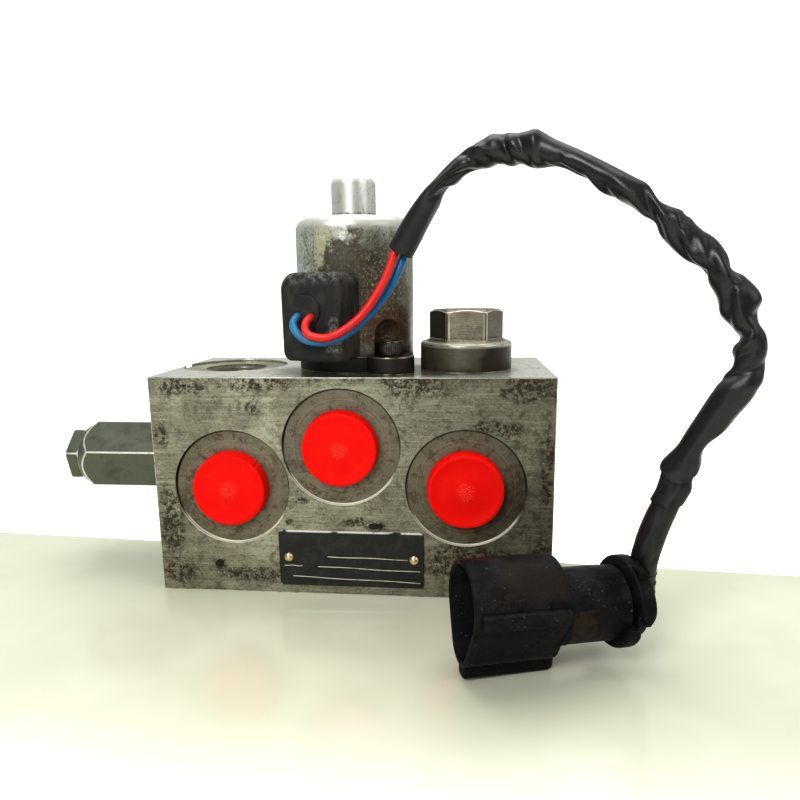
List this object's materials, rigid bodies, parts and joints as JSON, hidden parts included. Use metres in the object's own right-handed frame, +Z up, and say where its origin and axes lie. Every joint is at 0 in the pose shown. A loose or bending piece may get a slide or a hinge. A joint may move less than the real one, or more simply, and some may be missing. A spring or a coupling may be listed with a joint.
{
  "type": "hydraulic monoblock valve",
  "caption": "Steel hydraulic valve block with capped threaded ports, a wired solenoid spool valve, a screw-in relief valve, a check valve under a hex plug and a loose harness connector.",
  "frame": {"origin": "centre of the block's bottom face", "axes": "+X to the right along the block, +Y towards the back, +Z up; the capped ports face -Y"},
  "size_m": [0.2653, 0.1356, 0.1743],
  "materials": {
    "block_steel": "ground, with brown stains and light rust",
    "cap_red": "satin",
    "plate_black": "satin, with bare metal rules",
    "brass": "polished",
    "flange_steel": "oiled, dull",
    "screw_steel": "black oxide",
    "can_zinc": "zinc plated, stained",
    "bobbin_plastic": "moulded",
    "copper": "enamelled copper wire",
    "tube_steel": "turned, bright",
    "iron": "machined",
    "ground_steel": "ground",
    "spring_steel": "drawn wire",
    "seal_rubber": "smooth",
    "boot_rubber": "scuffed",
    "wire_red": "smooth insulation",
    "wire_blue": "smooth insulation",
    "sleeve_pvc": "glossy, creased",
    "plug_steel": "turned, oiled",
    "relief_steel": "phosphated",
    "connector_plastic": "dusty",
    "terminal_metal": "tinned"
  },
  "bodies": {
    "valve": {"valve_block": "block_steel", "nameplate": "plate_black", "nameplate_rivets": "brass", "base_flange": "flange_steel", "flange_screws": "screw_steel", "solenoid_can": "can_zinc", "coil_bobbin": "bobbin_plastic", "coil_winding": "copper", "core_tube": "tube_steel", "pole_piece": "iron", "valve_cage": "ground_steel", "cage_seals": "seal_rubber", "spool_spring": "spring_steel", "terminal_boot": "boot_rubber", "boot_grommet": "boot_rubber", "wire_red": "wire_red", "wire_blue": "wire_blue", "harness_sleeve": "sleeve_pvc", "top_plug": "plug_steel", "plug_seal": "seal_rubber", "check_spring": "spring_steel", "relief_body": "relief_steel", "relief_seal": "seal_rubber", "cap_nut": "relief_steel", "relief_spring": "spring_steel", "relief_seat": "ground_steel", "gallery_plug": "plug_steel", "connector_housing": "connector_plastic", "connector_terminals": "terminal_metal", "rear_cover": "connector_plastic", "wire_seal": "seal_rubber", "connector_elbow": "boot_rubber"},
    "left_cap": {"cap_left": "cap_red"},
    "middle_cap": {"cap_middle": "cap_red"},
    "right_cap": {"cap_right": "cap_red"},
    "armature_body": {"armature": "iron", "push_pin": "ground_steel"},
    "spool_body": {"spool": "ground_steel"},
    "check_body": {"check_poppet": "ground_steel"},
    "relief_poppet_body": {"relief_poppet": "ground_steel"},
    "seat_body": {"spring_seat": "ground_steel"},
    "screw_body": {"adjusting_screw": "plug_steel"}
  },
  "joints": [
    {"name": "cap_left_pull", "type": "slide", "parent": "valve", "child": "left_cap", "axis": [0, -1, 0], "range_m": [0, 0.06]},
    {"name": "cap_middle_pull", "type": "slide", "parent": "valve", "child": "middle_cap", "axis": [0, -1, 0], "range_m": [0, 0.06]},
    {"name": "cap_right_pull", "type": "slide", "parent": "valve", "child": "right_cap", "axis": [0, -1, 0], "range_m": [0, 0.03]},
    {"name": "armature_stroke", "type": "slide", "parent": "valve", "child": "armature_body", "axis": [0, 0, -1], "range_m": [0, 0.0035], "stiffness_N_per_m": 1500, "springref_m": -0.002},
    {"name": "spool_stroke", "type": "slide", "parent": "valve", "child": "spool_body", "axis": [0, 0, -1], "range_m": [0, 0.0035], "stiffness_N_per_m": 500, "springref_m": -0.002, "deforming": ["spool_spring"]},
    {"name": "check_lift", "type": "slide", "parent": "valve", "child": "check_body", "axis": [0, 0, 1], "range_m": [0, 0.003], "stiffness_N_per_m": 800, "springref_m": -0.003, "deforming": ["check_spring"]},
    {"name": "relief_lift", "type": "slide", "parent": "valve", "child": "relief_poppet_body", "axis": [-1, 0, 0], "range_m": [0, 0.002], "stiffness_N_per_m": 20000, "springref_m": -0.003, "deforming": ["relief_spring"]},
    {"name": "seat_travel", "type": "slide", "parent": "valve", "child": "seat_body", "axis": [1, 0, 0], "range_m": [-0.001, 0.001], "deforming": ["relief_spring"]},
    {"name": "adjuster_turn", "type": "hinge", "parent": "seat_body", "child": "screw_body", "pos_m": [-0.115, 0, 0.049], "axis": [1, 0, 0], "range_deg": [-360, 360]}
  ],
  "couplings": [
    {"joint": "spool_stroke", "follows": "armature_stroke", "ratio": 1},
    {"joint": "adjuster_turn", "follows": "seat_travel", "rad_per_m": 6280}
  ]
}
